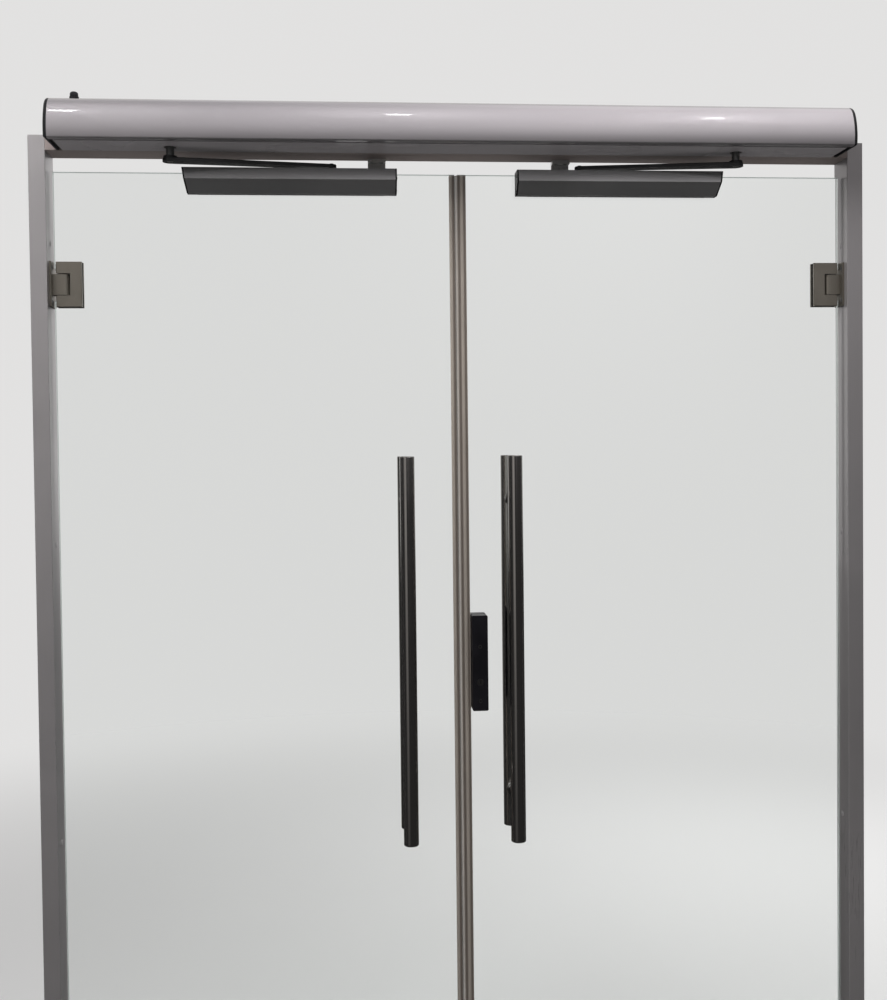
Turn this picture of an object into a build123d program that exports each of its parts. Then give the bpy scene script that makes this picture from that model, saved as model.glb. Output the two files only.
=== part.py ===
from build123d import *
import math
import os

# A pair of frameless glass entrance leaves in a slim metal frame, opened by a twin
# swing operator. Millimetres. X runs along the wall, Y away from the operator side,
# Z up. The origin lies on the floor, midway between the jambs, in the middle plane of
# the glass. The right-hand half is built, and the left-hand half is its mirror image.

# Frame
opening_width = 1620.0
opening_height = 2126.0
jamb_face = 33.0
head_face = 30.0
frame_front = 38.0
frame_back = 27.0
profile_wall = 2.5
profile_round = 1.5
fixing_hole_r = 4.5
fixing_low = 150.0
fixing_pitch = 600.0
fixing_count = 4

# Glass leaves
glass_thick = 12.0
glass_arris = 1.0
floor_gap = 10.0
top_gap = 34.0
jamb_gap = 6.0
meeting_gap = 6.0
gasket_thick = 1.0

# Wall-to-glass hinges
hinge_height = 90.0
hinge_width = 50.0
hinge_plate = 7.0
hinge_from_end = 224.0
hinge_axis_inset = 25.0
hinge_plate_inset = 11.0
hinge_edge = 1.2
bracket_thick = 4.0
bracket_depth = 46.0
knuckle_height = 41.0
knuckle_r = 12.0
knuckle_gap = 1.5
pin_r = 5.0
pin_grip = 8.0
running_gap = 0.05
notch_height = 64.0
notch_depth = 46.0
notch_gap = 1.0
screw_r = 2.5
screw_head_r = 5.0
screw_head_height = 2.6

# Slide rails on the leaves
rail_from_hinge = 238.0
rail_height = 47.0
rail_depth = 40.0
rail_rise = 3.0
rail_wall = 4.0
rail_back_wall = 6.0
rail_top_setback = 4.0
rail_knee = 24.0
rail_toe = 18.0
channel_width = 26.0
channel_height = 19.0
slot_width = 10.0
rail_cap_thick = 3.0
rail_end_slant = 8.0
back_plate_height = 24.0
back_plate_thick = 3.0
back_plate_setback = 24.0
rail_bolt_r = 3.0
rail_bolt_head_r = 6.0
rail_bolt_head = 4.0
rail_bolt_rise = 14.0
shoe_length = 24.0
shoe_gap = 0.6
shoe_boss_r = 4.4

# Swing operator over the opening
header_inset = 27.0
header_height = 83.0
header_depth = 100.0
header_skin = 2.0
header_crown = 34.0
header_bow = 3.0
header_lip = 12.0
header_edge_r = 7.0
end_cap_thick = 7.0
end_cap_round = 4.0
end_cap_spigot = 6.0
chassis_wall = 4.0
chassis_end_gap = 1.0
chassis_hook = 30.0
fit_gap = 0.4
chassis_screw_rise = 15.0
wall_bolt_drop = 18.0
wall_bolt_margin = 86.0
wall_bolt_count = 4
spindle_from_jamb = 246.0
spindle_from_wall = 30.0
spindle_r = 10.0
spindle_neck_r = 8.0
spindle_square = 11.0
spindle_hole_r = 12.0
arm_length = 315.0
arm_hub_r = 15.0
arm_eye_r = 10.0
arm_thick = 7.0
arm_hub_rise = 4.0
arm_above_rail = 3.0
arm_edge = 1.5
arm_pin_r = 4.0
arm_screw_r = 3.0
arm_screw_head_r = 6.5
arm_screw_head = 3.5
arm_seat = 1.0
gearbox_length = 84.0
gearbox_depth = 66.0
gearbox_height = 60.0
gearbox_round = 6.0
motor_r = 28.0
motor_length = 140.0
motor_collar = 6.0
encoder_length = 14.0
encoder_r = 17.0
motor_axis_rise = 36.0
control_length = 230.0
control_depth = 56.0
control_height = 50.0
supply_depth = 60.0
supply_height = 44.0
supply_from_control = 60.0
supply_from_motor = 25.0
gland_from_end = 42.0
gland_r = 10.0
gland_nut = 7.0
gland_dome_r = 8.0
gland_dome = 9.0
gland_bore_r = 3.5

# Door stops under the head
stop_width = 36.0
stop_base = 7.0
stop_drop = 50.0
stop_core = 6.0
stop_left_x = 160.0
stop_right_x = 220.0
buffer_gap = 0.3

# Pull handles
handle_r = 15.0
handle_wall = 1.5
handle_length = 784.0
handle_centre_height = 1127.0
handle_from_meeting = 109.0
handle_standoff = 58.0
handle_edge = 2.0
post_r = 9.0
post_from_end = 90.0
post_foot_r = 14.0
post_foot = 3.0
stud_r = 4.0
stud_grip = 16.0

# Lock on the right leaf
lock_width = 32.5
lock_height = 196.0
lock_depth = 22.0
lock_wall = 2.0
lock_round = 3.0
lock_from_meeting = 21.5
lock_centre_height = 1094.0
lock_pivot_drop = 39.0
lock_screw_rise = 34.0
lock_screw_drop = 78.0
lock_boss_r = 4.5
bolt_length = 62.0
bolt_width = 12.0
bolt_thick = 4.0
bolt_clear = 5.0
bolt_hub_r = 8.0
lock_square = 7.0
plug_r = 7.0
plug_gap = 0.1
turn_r = 11.0
turn_length = 15.0
turn_grip = 6.0

# Seal between the leaves
seal_wrap = 17.0
seal_wall = 2.0
seal_bulb_gap = 0.3
seal_end_gap = 2.0

# Places that follow from the sizes above
half_opening = opening_width / 2
frame_depth = frame_front + frame_back
frame_mid_y = (frame_back - frame_front) / 2
frame_top = opening_height + head_face
glass_half = glass_thick / 2
glass_top = opening_height - top_gap
glass_bottom = floor_gap
glass_hinge_x = half_opening - jamb_gap
glass_meeting_x = meeting_gap / 2
hinge_x = half_opening - hinge_axis_inset
hinge_levels = [glass_bottom + hinge_from_end, glass_top - hinge_from_end]
rail_top = glass_top + rail_rise
rail_bottom = rail_top - rail_height
rail_outer_x = hinge_x - rail_from_hinge
rail_front_y = -glass_half - rail_depth
slot_y = -glass_half - rail_back_wall - channel_width / 2 - 1.0
spindle_x = half_opening - spindle_from_jamb
spindle_y = -frame_front - spindle_from_wall
arm_bottom = rail_top + arm_above_rail
arm_top = arm_bottom + arm_thick
arm_reach_y = slot_y - spindle_y
arm_pin_x = spindle_x - math.sqrt(arm_length ** 2 - arm_reach_y ** 2)
rail_inner_x = (glass_meeting_x + arm_pin_x - shoe_length / 2) / 2
header_front_y = -frame_front - header_depth
header_bottom = opening_height
header_top = header_bottom + header_height
header_half = half_opening - header_inset
chassis_half = header_half - end_cap_spigot - chassis_end_gap
wall_bolt_pitch = 2 * (chassis_half - wall_bolt_margin) / (wall_bolt_count - 1)
arc_share = 1 - math.sqrt(0.5)
arm_angle = math.degrees(math.atan2(arm_reach_y, arm_pin_x - spindle_x))
shelf_top = header_bottom + chassis_wall
gland_x = -header_half + gland_from_end
gland_y = -frame_front - header_depth / 2
back_face_y = -frame_front - chassis_wall
lock_x = lock_from_meeting + lock_width / 2
lock_bottom = lock_centre_height - lock_height / 2
lock_top = lock_centre_height + lock_height / 2
lock_pivot_z = lock_centre_height - lock_pivot_drop
lock_screw_levels = [lock_centre_height + lock_screw_rise, lock_centre_height - lock_screw_drop]
post_levels = [
    handle_centre_height - handle_length / 2 + post_from_end,
    handle_centre_height + handle_length / 2 - post_from_end,
]


def brick(x0, x1, y0, y1, z0, z1):
    """A block between two corners."""
    middle = Pos((x0 + x1) / 2, (y0 + y1) / 2, (z0 + z1) / 2)
    return middle * Box(abs(x1 - x0), abs(y1 - y0), abs(z1 - z0))


def rod_x(radius, x0, x1, y, z):
    """A round bar along X."""
    return Pos((x0 + x1) / 2, y, z) * Rot(0, 90, 0) * Cylinder(radius, abs(x1 - x0))


def rod_y(radius, y0, y1, x, z):
    """A round bar along Y."""
    return Pos(x, (y0 + y1) / 2, z) * Rot(90, 0, 0) * Cylinder(radius, abs(y1 - y0))


def rod_z(radius, z0, z1, x, y):
    """A round bar along Z."""
    return Pos(x, y, (z0 + z1) / 2) * Cylinder(radius, abs(z1 - z0))


def across(points, x0, x1):
    """A solid of one Y-Z outline, run along X."""
    outline = make_face(Polyline(*[(0, y, z) for y, z in points], close=True))
    return Pos(x0, 0, 0) * extrude(outline, amount=x1 - x0, dir=(1, 0, 0))


def screw(radius, length, head_radius, head_height):
    """A countersunk screw whose flat head lies at Z = 0 and whose shank points down."""
    half = make_face(Polyline(
        (0, 0, 0), (head_radius, 0, 0), (radius, 0, -head_height),
        (radius, 0, -length), (0, 0, -length), close=True))
    return revolve(half, axis=Axis.Z)


def group(pieces):
    """Several separate solids kept in one node."""
    solids = []
    for piece in pieces:
        solids.extend(piece.solids())
    return Compound(children=solids)


def box_profile(x0, x1, y0, y1, z0, z1, hollow_along):
    """A rectangular tube with rounded long edges, open at both ends."""
    tube = brick(x0, x1, y0, y1, z0, z1)
    tube = fillet(tube.edges().filter_by(hollow_along), profile_round)
    inset = profile_wall
    dx, dz = (0, inset) if hollow_along == Axis.X else (inset, 0)
    return tube - brick(x0 + dx, x1 - dx, y0 + inset, y1 - inset, z0 + dz, z1 - dz)


# Frame

def jamb():
    """One upright: a tube with the wall fixings and the hinge screws drilled through it."""
    outer = half_opening + jamb_face
    upright = box_profile(half_opening, outer, -frame_front, frame_back, 0, frame_top, Axis.Z)
    for i in range(fixing_count):
        level = fixing_low + i * fixing_pitch
        upright -= rod_x(fixing_hole_r, half_opening - 1, outer + 1, frame_mid_y, level)
    for y, z in bracket_screw_places():
        upright -= rod_x(screw_r + running_gap, half_opening - 1, half_opening + profile_wall + 1, y, z)
    return upright


def head_rail():
    """The cross member between the uprights, drilled for the operator's screws."""
    rail = box_profile(-half_opening, half_opening, -frame_front, frame_back,
                       opening_height, frame_top, Axis.X)
    for x in chassis_screw_places():
        rail -= rod_y(screw_r + running_gap, -frame_front - 1, -frame_front + profile_wall + 1,
                      x, header_bottom + chassis_screw_rise)
    for x, y in stop_screw_places():
        rail -= rod_z(screw_r + running_gap, opening_height - 1,
                      opening_height + profile_wall + 1, x, y)
    return rail


# Hinges

def bracket_screw_places():
    """Places of the four screws of each hinge bracket, as Y and Z."""
    reach_y = bracket_depth / 2 - 7
    reach_z = (hinge_height + knuckle_height) / 4
    return [(side_y * reach_y, level + side_z * reach_z)
            for level in hinge_levels for side_y in (-1, 1) for side_z in (-1, 1)]


def hinge_bracket(level):
    """The fixed half: a plate on the jamb and a knuckle rounded about the pin."""
    plate = brick(half_opening - bracket_thick, half_opening, -bracket_depth / 2, bracket_depth / 2,
                  level - hinge_height / 2, level + hinge_height / 2)
    plate = fillet(plate.edges().filter_by(Axis.X), hinge_edge * 2)
    half_knuckle = knuckle_height / 2
    knuckle = rod_z(knuckle_r, level - half_knuckle, level + half_knuckle, hinge_x, 0)
    knuckle += brick(hinge_x, half_opening - bracket_thick, -knuckle_r, knuckle_r,
                     level - half_knuckle, level + half_knuckle)
    bracket = plate + knuckle
    bracket -= rod_z(pin_r + running_gap, level - hinge_height, level + hinge_height, hinge_x, 0)
    for y, z in bracket_screw_places():
        if abs(z - level) < hinge_height:
            seat = Pos(half_opening - bracket_thick, y, z) * Rot(0, -90, 0)
            bracket -= seat * screw(screw_r + running_gap, bracket_thick + 1,
                                    screw_head_r + running_gap, screw_head_height)
    return bracket


def hinge_brackets():
    return group([hinge_bracket(level) for level in hinge_levels])


def bracket_screws():
    """All countersunk screws that hold the brackets of one jamb."""
    length = bracket_thick + profile_wall + 12
    return [Pos(half_opening - bracket_thick, y, z) * Rot(0, -90, 0)
            * screw(screw_r, length, screw_head_r, screw_head_height)
            for y, z in bracket_screw_places()]


def hinge_clamp(level, side):
    """One clamp plate with the boss that fills the notch. side is -1 in front, 1 behind."""
    outer_x = half_opening - hinge_plate_inset
    inner_x = outer_x - hinge_width
    face_y = side * (glass_half + gasket_thick)
    front_y = face_y + side * hinge_plate
    half = hinge_height / 2
    plate = brick(inner_x, outer_x, face_y, front_y, level - half, level + half)
    rim = plate.faces().sort_by(Axis.Y)[0 if side < 0 else -1].edges()
    plate = chamfer(rim, hinge_edge)
    boss_half = notch_height / 2 - notch_gap
    notch_inner = glass_hinge_x - notch_depth + notch_gap
    boss = brick(notch_inner, outer_x, side * notch_gap / 4, face_y,
                 level - boss_half, level + boss_half)
    clamp = plate + boss
    window = knuckle_height / 2 + knuckle_gap
    clamp -= brick(hinge_x - knuckle_r - knuckle_gap, outer_x + 1, -side, front_y + side,
                   level - window, level + window)
    clamp -= rod_z(pin_r, level - window - pin_grip, level + window + pin_grip, hinge_x, 0)
    for z in clamp_screw_levels(level):
        if side > 0:
            seat = Pos(clamp_screw_x(), front_y, z) * Rot(-90, 0, 0)
            clamp -= seat * screw(screw_r, clamp_screw_length() + 1, screw_head_r, screw_head_height)
        else:
            deep = clamp_screw_length() - 2 * (glass_half + gasket_thick) - hinge_plate
            clamp -= rod_y(screw_r, 0, face_y + side * deep, clamp_screw_x(), z)
    return clamp


def clamp_screw_x():
    """The screws pass through the notch, between the glass and the knuckle."""
    return (glass_hinge_x - notch_depth + notch_gap + hinge_x - knuckle_r - knuckle_gap) / 2


def clamp_screw_levels(level):
    return [level - notch_height / 4, level + notch_height / 4]


def clamp_screw_length():
    """Reaches most of the way through the front plate."""
    return 2 * (hinge_plate + glass_half + gasket_thick) - hinge_plate / 3


def hinge_front_plates():
    return group([hinge_clamp(level, -1) for level in hinge_levels])


def hinge_rear_plates():
    return group([hinge_clamp(level, 1) for level in hinge_levels])


def hinge_screws():
    """The countersunk screws that pull both plates onto the glass, from behind."""
    rear_y = glass_half + gasket_thick + hinge_plate
    return group([Pos(clamp_screw_x(), rear_y, z) * Rot(-90, 0, 0)
                  * screw(screw_r, clamp_screw_length(), screw_head_r, screw_head_height)
                  for level in hinge_levels for z in clamp_screw_levels(level)])


def hinge_pins():
    """The pins, held by the plates above and below and turning in the knuckles."""
    reach = knuckle_height / 2 + knuckle_gap + pin_grip
    return group([rod_z(pin_r, level - reach, level + reach, hinge_x, 0) for level in hinge_levels])


def hinge_gaskets():
    """Thin pads between the plates and both faces of the glass."""
    outer_x = glass_hinge_x
    inner_x = half_opening - hinge_plate_inset - hinge_width
    pads = []
    for level in hinge_levels:
        for side in (-1, 1):
            pad = brick(inner_x, half_opening - hinge_plate_inset, side * glass_half,
                        side * (glass_half + gasket_thick),
                        level - hinge_height / 2, level + hinge_height / 2)
            pads.append(pad - brick(outer_x - notch_depth, outer_x + notch_depth,
                                    side, side * (glass_half + gasket_thick + 1),
                                    level - notch_height / 2, level + notch_height / 2))
    return group(pads)


# Glass

def glass_leaf(with_lock):
    """One pane with its hinge notches and the holes for what is bolted through it."""
    pane = brick(glass_meeting_x, glass_hinge_x, -glass_half, glass_half, glass_bottom, glass_top)
    long_edges = pane.edges().filter_by(Axis.X) + pane.edges().filter_by(Axis.Z)
    pane = chamfer(long_edges, glass_arris)
    for level in hinge_levels:
        pane -= brick(glass_hinge_x - notch_depth, glass_hinge_x + 1, -glass_thick, glass_thick,
                      level - notch_height / 2, level + notch_height / 2)
    for level in post_levels:
        pane -= rod_y(stud_r + 2, -glass_thick, glass_thick, handle_from_meeting, level)
    for x in rail_bolt_places():
        pane -= rod_y(rail_bolt_r + 2, -glass_thick, glass_thick, x, rail_bottom + rail_bolt_rise)
    if with_lock:
        pane -= rod_y(lock_square + 1, -glass_thick, glass_thick, lock_x, lock_pivot_z)
        for level in lock_screw_levels:
            pane -= rod_y(lock_boss_r + 0.5, -glass_thick, glass_thick, lock_x, level)
    return pane


def meeting_seal():
    """The clear extruded strip that grips the right leaf's edge and closes the gap."""
    edge = glass_meeting_x
    web = edge - seal_wall
    outer = glass_half + seal_wall
    z0 = glass_bottom + seal_end_gap
    z1 = glass_top - seal_end_gap
    strip = brick(web, edge + seal_wrap, -outer, outer, z0, z1)
    strip -= brick(edge, edge + seal_wrap + 1, -glass_half, glass_half, z0 - 1, z1 + 1)
    bulb_reach = web + glass_meeting_x - seal_bulb_gap
    outline = make_face(
        ThreePointArc((web, -glass_half, 0), (web - bulb_reach, 0, 0), (web, glass_half, 0))
        + Line((web, glass_half, 0), (web, -glass_half, 0)))
    return strip + Pos(0, 0, z0) * extrude(outline, amount=z1 - z0, dir=(0, 0, 1))


# Slide rails

def rail_outline():
    """The outline of the rail's section: a flat back and a front that breaks at a knee."""
    back = -glass_half
    front = rail_front_y
    return [
        (back, rail_bottom), (back - rail_toe, rail_bottom), (front, rail_bottom + rail_knee),
        (front + rail_top_setback, rail_top), (back, rail_top),
    ]


def rail_end_slab(depth_from, depth_to):
    """A slanting slab at the rail's outer end, between two distances from the end."""
    points = []
    for distance, order in ((depth_from, 1), (depth_to, -1)):
        pair = [(rail_outer_x - distance - rail_end_slant, 0, rail_bottom - 1),
                (rail_outer_x - distance, 0, rail_top + 1)]
        points.extend(pair[::order])
    outline = make_face(Polyline(*points, close=True))
    return Pos(0, rail_front_y - 1, 0) * extrude(outline, amount=rail_depth + 2, dir=(0, 1, 0))


def slide_rail():
    """The extruded track: a channel open through a slot at the top, and a hollow below it."""
    rail = across(rail_outline(), rail_inner_x + rail_cap_thick, rail_outer_x)
    x0 = rail_inner_x - 1
    x1 = rail_outer_x + 1
    channel_top = rail_top - rail_wall
    rail -= brick(x0, x1, slot_y - channel_width / 2, slot_y + channel_width / 2,
                  channel_top - channel_height, channel_top)
    rail -= brick(x0, x1, slot_y - slot_width / 2, slot_y + slot_width / 2,
                  channel_top - 1, rail_top + 1)
    floor = channel_top - channel_height - rail_wall
    toe_y = -glass_half - rail_toe
    rail -= brick(x0, x1, toe_y, -glass_half - rail_back_wall, rail_bottom + rail_wall / 2, floor)
    rail -= rail_end_slab(-rail_end_slant - 2, rail_cap_thick)
    for x in rail_bolt_places():
        rail -= rod_y(rail_bolt_r, 0, -glass_half - rail_back_wall + 0.5, x,
                      rail_bottom + rail_bolt_rise)
    return rail


def rail_end_caps():
    """A flat cap at the inner end and a slanting one at the outer end."""
    inner = across(rail_outline(), rail_inner_x, rail_inner_x + rail_cap_thick)
    outer = across(rail_outline(), rail_outer_x - rail_end_slant - rail_cap_thick - 2, rail_outer_x + 1)
    outer = outer & rail_end_slab(0, rail_cap_thick)
    return group([inner, outer])


def rail_bolt_places():
    """Three bolts along the rail."""
    margin = back_plate_setback * 2
    first = rail_inner_x + margin
    last = rail_outer_x - margin
    return [first, (first + last) / 2, last]


def rail_back_plate():
    """The flat bar behind the glass that the rail is bolted against."""
    z = rail_bottom + rail_bolt_rise
    bar = brick(rail_inner_x + back_plate_setback, rail_outer_x - back_plate_setback,
                glass_half, glass_half + back_plate_thick,
                z - back_plate_height / 2, z + back_plate_height / 2)
    bar = fillet(bar.edges().filter_by(Axis.Y), 3)
    for x in rail_bolt_places():
        bar -= rod_y(rail_bolt_r, 0, glass_half + back_plate_thick + 1, x, z)
    return bar


def rail_bolts():
    """Pan-head bolts through the back plate and the glass into the rail."""
    bolts = []
    plate_y = glass_half + back_plate_thick
    tip_y = -glass_half - rail_back_wall + 1
    z = rail_bottom + rail_bolt_rise
    for x in rail_bolt_places():
        head = rod_y(rail_bolt_head_r, plate_y, plate_y + rail_bolt_head, x, z)
        head = fillet(head.edges().sort_by(Axis.Y)[-1], 1.5)
        bolts.append(head + rod_y(rail_bolt_r, tip_y, plate_y, x, z))
    return group(bolts)


def shoe():
    """The plastic slide block in the channel, with a boss that rises through the slot."""
    top = rail_top - rail_wall - shoe_gap
    bottom = top + 2 * shoe_gap - channel_height
    width = channel_width - 2 * shoe_gap
    block = brick(arm_pin_x - shoe_length / 2, arm_pin_x + shoe_length / 2,
                  slot_y - width / 2, slot_y + width / 2, bottom, top)
    block = fillet(block.edges().filter_by(Axis.Z), 3)
    return block + rod_z(shoe_boss_r, top - 1, rail_top + shoe_gap, arm_pin_x, slot_y)


# Swing operator

def header_outline():
    """The operator's side view: flat back and bottom, bowed front and a rounded crown."""
    front = header_front_y
    low = header_bottom + header_edge_r
    shoulder = header_top - header_crown
    back = -frame_front
    bottom_corner = (front + header_bow + header_edge_r, header_bottom)
    front_low = (front + header_bow, low)
    front_mid = (front, (low + shoulder) / 2)
    front_high = (front + header_bow, shoulder)
    crown_mid = (front + header_bow + header_crown * arc_share, header_top - header_crown * arc_share)
    crown_end = (front + header_bow + header_crown, header_top)
    knuckle_mid = (front + header_bow + header_edge_r * arc_share,
                   header_bottom + header_edge_r * arc_share)

    def at(point):
        return (0, point[0], point[1])

    return make_face(
        Line(at((back, header_bottom)), at(bottom_corner))
        + ThreePointArc(at(bottom_corner), at(knuckle_mid), at(front_low))
        + ThreePointArc(at(front_low), at(front_mid), at(front_high))
        + ThreePointArc(at(front_high), at(crown_mid), at(crown_end))
        + Line(at(crown_end), at((back, header_top)))
        + Line(at((back, header_top)), at((back, header_bottom))))


def header_run(inset, x0, x1):
    """The header's side view, drawn in by an inset, run along X."""
    face = header_outline()
    if inset:
        face = offset(face, amount=-inset)
    return Pos(x0, 0, 0) * extrude(face, amount=x1 - x0, dir=(1, 0, 0))


def header_cover():
    """The one-piece cover, open at the back and underneath behind its lower lip."""
    half = header_half
    cover = header_run(0, -half, half) - header_run(header_skin, -half - 1, half + 1)
    open_y = header_front_y + header_bow + header_edge_r + header_lip
    cover -= brick(-half - 1, half + 1, open_y, 0, header_bottom - 1, header_bottom + header_skin + 1)
    cover -= brick(-half - 1, half + 1, -frame_front - header_skin - 1, 0,
                   header_bottom - 1, header_top - header_skin)
    return cover - rod_z(gland_bore_r, header_top - header_skin - 1, header_top + 1, gland_x, gland_y)


def end_cap():
    """A moulded cap that closes the header's end, with a spigot inside the cover."""
    half = header_half
    cap = header_run(0, half, half + end_cap_thick)
    outer_rim = cap.faces().sort_by(Axis.X)[-1].edges()
    cap = fillet(outer_rim, min(end_cap_round, header_edge_r * 0.7))
    spigot = header_run(header_skin + fit_gap, half - end_cap_spigot, half + 1)
    hollow = header_run(header_skin * 2 + fit_gap, half - end_cap_spigot - 1, half)
    return cap + (spigot - hollow)


def chassis_screw_places():
    """Five screws along the head rail."""
    reach = chassis_half - 40
    return [-reach, -reach / 2, 0, reach / 2, reach]


def operator_chassis():
    """The channel that carries the drive: a back wall, a bottom shelf and a top shelf."""
    top = header_top - header_skin - fit_gap
    shelf_front = header_front_y + header_bow + header_edge_r + header_lip + fit_gap
    hook_front = -frame_front - chassis_hook
    chassis = brick(-chassis_half, chassis_half, back_face_y, -frame_front, header_bottom, top)
    chassis += brick(-chassis_half, chassis_half, shelf_front, back_face_y, header_bottom, shelf_top)
    chassis += brick(-chassis_half, chassis_half, hook_front, back_face_y, top - chassis_wall / 2, top)
    for side in (-1, 1):
        chassis -= rod_z(spindle_hole_r, header_bottom - 1, shelf_top + 1, side * spindle_x, spindle_y)
    for i in range(wall_bolt_count):
        chassis -= rod_y(fixing_hole_r, back_face_y - 1, -frame_front + 1,
                         (i - (wall_bolt_count - 1) / 2) * wall_bolt_pitch, header_top - wall_bolt_drop)
    for x in chassis_screw_places():
        seat = Pos(x, back_face_y, header_bottom + chassis_screw_rise) * Rot(90, 0, 0)
        chassis -= seat * screw(screw_r + running_gap, chassis_wall + 1,
                                screw_head_r + running_gap, screw_head_height)
    return chassis


def head_screws():
    """Countersunk screws that hold the chassis and the two door stops to the head rail."""
    length = chassis_wall + profile_wall + 10
    screws = [Pos(x, back_face_y, header_bottom + chassis_screw_rise) * Rot(90, 0, 0)
              * screw(screw_r, length, screw_head_r, screw_head_height)
              for x in chassis_screw_places()]
    length = stop_base + profile_wall + 8
    for x, y in stop_screw_places():
        screws.append(stop_screw_seat(x, y) * screw(screw_r, length, screw_head_r, screw_head_height))
    return group(screws)


def gearbox():
    """The cast reduction box, bored for the upright spindle."""
    half = gearbox_length / 2
    body = brick(spindle_x - half, spindle_x + half, back_face_y - gearbox_depth, back_face_y,
                 shelf_top, shelf_top + gearbox_height)
    body = fillet(body.edges().filter_by(Axis.Z), gearbox_round)
    body += rod_z(spindle_r * 1.8, shelf_top + gearbox_height - 1, shelf_top + gearbox_height + 4,
                  spindle_x, spindle_y)
    return body - rod_z(spindle_r + running_gap, shelf_top - 1, spindle_upper_end() + 1,
                        spindle_x, spindle_y)


def motor():
    """The motor lying along the header, on the gearbox's inner side."""
    face = spindle_x - gearbox_length / 2
    y = back_face_y - gearbox_depth / 2
    z = shelf_top + motor_axis_rise
    can = rod_x(motor_r, face - motor_length, face - motor_collar, y, z)
    can = chamfer(can.edges().sort_by(Axis.X)[0], 3)
    collar = rod_x(motor_r - 3, face - motor_collar, face, y, z)
    encoder = rod_x(encoder_r, face - motor_length - encoder_length, face - motor_length, y, z)
    cradle = brick(face - motor_length * 0.7, face - motor_length * 0.3, y - motor_r * 0.7,
                   y + motor_r * 0.7, shelf_top, z)
    return can + collar + encoder + cradle


def spindle_upper_end():
    return shelf_top + gearbox_height - chassis_wall


def spindle():
    """The output spindle: a journal in the gearbox, a neck, and a square for the arm."""
    shaft = rod_z(spindle_r, shelf_top + 1, spindle_upper_end(), spindle_x, spindle_y)
    shaft += rod_z(spindle_neck_r, arm_top + arm_hub_rise, shelf_top + 1, spindle_x, spindle_y)
    square_low = arm_bottom + arm_screw_head + arm_seat
    square_high = arm_top + arm_hub_rise
    shaft += Pos(spindle_x, spindle_y, (square_low + square_high) / 2) * Rot(0, 0, arm_angle) \
        * Box(spindle_square, spindle_square, square_high - square_low)
    return shaft - rod_z(arm_screw_r, arm_bottom - 1, shelf_top, spindle_x, spindle_y)


def drive_arm():
    """The forged arm, tapered from its hub to the eye over the rail, with its riveted pin."""
    hub = Circle(arm_hub_r)
    eye = Pos(arm_length, 0) * Circle(arm_eye_r)
    blade = make_hull(hub.edges() + eye.edges())
    bar = extrude(blade, amount=arm_thick)
    upper_rim = bar.faces().sort_by(Axis.Z)[-1].edges()
    bar = fillet(upper_rim, arm_edge)
    bar += Pos(0, 0, arm_thick - arm_edge) * Pos(0, 0, (arm_hub_rise + arm_edge) / 2) \
        * Cylinder(arm_hub_r - arm_edge, arm_hub_rise + arm_edge)
    waist = Pos(arm_length * 0.45, 0, arm_thick) * Box(arm_length * 0.5, arm_eye_r, arm_thick * 0.3)
    bar -= fillet(waist.edges().filter_by(Axis.Z), arm_eye_r / 2 - 0.5)
    pin_low = -arm_above_rail + shoe_gap + 1
    bar += Pos(arm_length, 0, (pin_low + arm_thick + 2) / 2) \
        * Cylinder(arm_pin_r, arm_thick + 2 - pin_low)
    half = spindle_square / 2 + running_gap
    bar -= Pos(0, 0, arm_thick) * Box(half * 2, half * 2, arm_thick * 4)
    bar += Cylinder(arm_hub_r * 0.8, arm_screw_head + arm_seat,
                    align=(Align.CENTER, Align.CENTER, Align.MIN))
    bar -= Rot(180, 0, 0) * screw(arm_screw_r + running_gap, arm_thick,
                                  arm_screw_head_r + running_gap, arm_screw_head)
    return Pos(spindle_x, spindle_y, arm_bottom) * Rot(0, 0, arm_angle) * bar


def arm_screw():
    """The countersunk screw that holds the arm up against the spindle."""
    return Pos(spindle_x, spindle_y, arm_bottom) * Rot(180, 0, 0) \
        * screw(arm_screw_r, arm_thick + 8, arm_screw_head_r, arm_screw_head)


def control_unit():
    """The electronics case on the chassis, with its terminal step."""
    half = control_length / 2
    case = brick(-half, half, back_face_y - control_depth, back_face_y,
                 shelf_top, shelf_top + control_height)
    case = fillet(case.edges().filter_by(Axis.Z), 3)
    return case - brick(-half - 1, half + 1, back_face_y - control_depth - 1,
                        back_face_y - control_depth * 0.7, shelf_top + control_height * 0.6,
                        shelf_top + control_height + 1)


def power_supply():
    """The mains supply in its slotted metal case."""
    motor_end = spindle_x - gearbox_length / 2 - motor_length - encoder_length
    x0 = supply_from_motor - motor_end
    supply_length = -control_length / 2 - supply_from_control - x0
    case = brick(x0, x0 + supply_length, back_face_y - supply_depth, back_face_y,
                 shelf_top, shelf_top + supply_height)
    slots = round(supply_length / 20) - 1
    for i in range(slots):
        x = x0 + supply_length * (i + 1) / (slots + 1)
        case -= brick(x - 2, x + 2, back_face_y - supply_depth + 8, back_face_y - 8,
                      shelf_top + supply_height - 3, shelf_top + supply_height + 1)
    return case


def cable_gland():
    """The threaded entry for the supply cable, on top of the header at its left end."""
    upright = (Align.CENTER, Align.CENTER, Align.MIN)
    nut = extrude(RegularPolygon(gland_r, 6), amount=gland_nut)
    dome = Pos(0, 0, gland_nut) * Cylinder(gland_dome_r, gland_dome, align=upright)
    dome = fillet(dome.edges().sort_by(Axis.Z)[-1], (gland_dome_r - gland_bore_r) * 0.6)
    bore = Cylinder(gland_bore_r, gland_nut + gland_dome + 1, align=upright)
    return Pos(gland_x, gland_y, header_top) * (nut + dome - bore)


# Door stops

def stop_screw_places():
    """Places of the two screws of each stop, as X and Y, under its rubber block."""
    y = (glass_half + buffer_gap + frame_back - stop_core) / 2
    return [(x + side * stop_width / 4, y) for x in (-stop_left_x, stop_right_x) for side in (-1, 1)]


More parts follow.
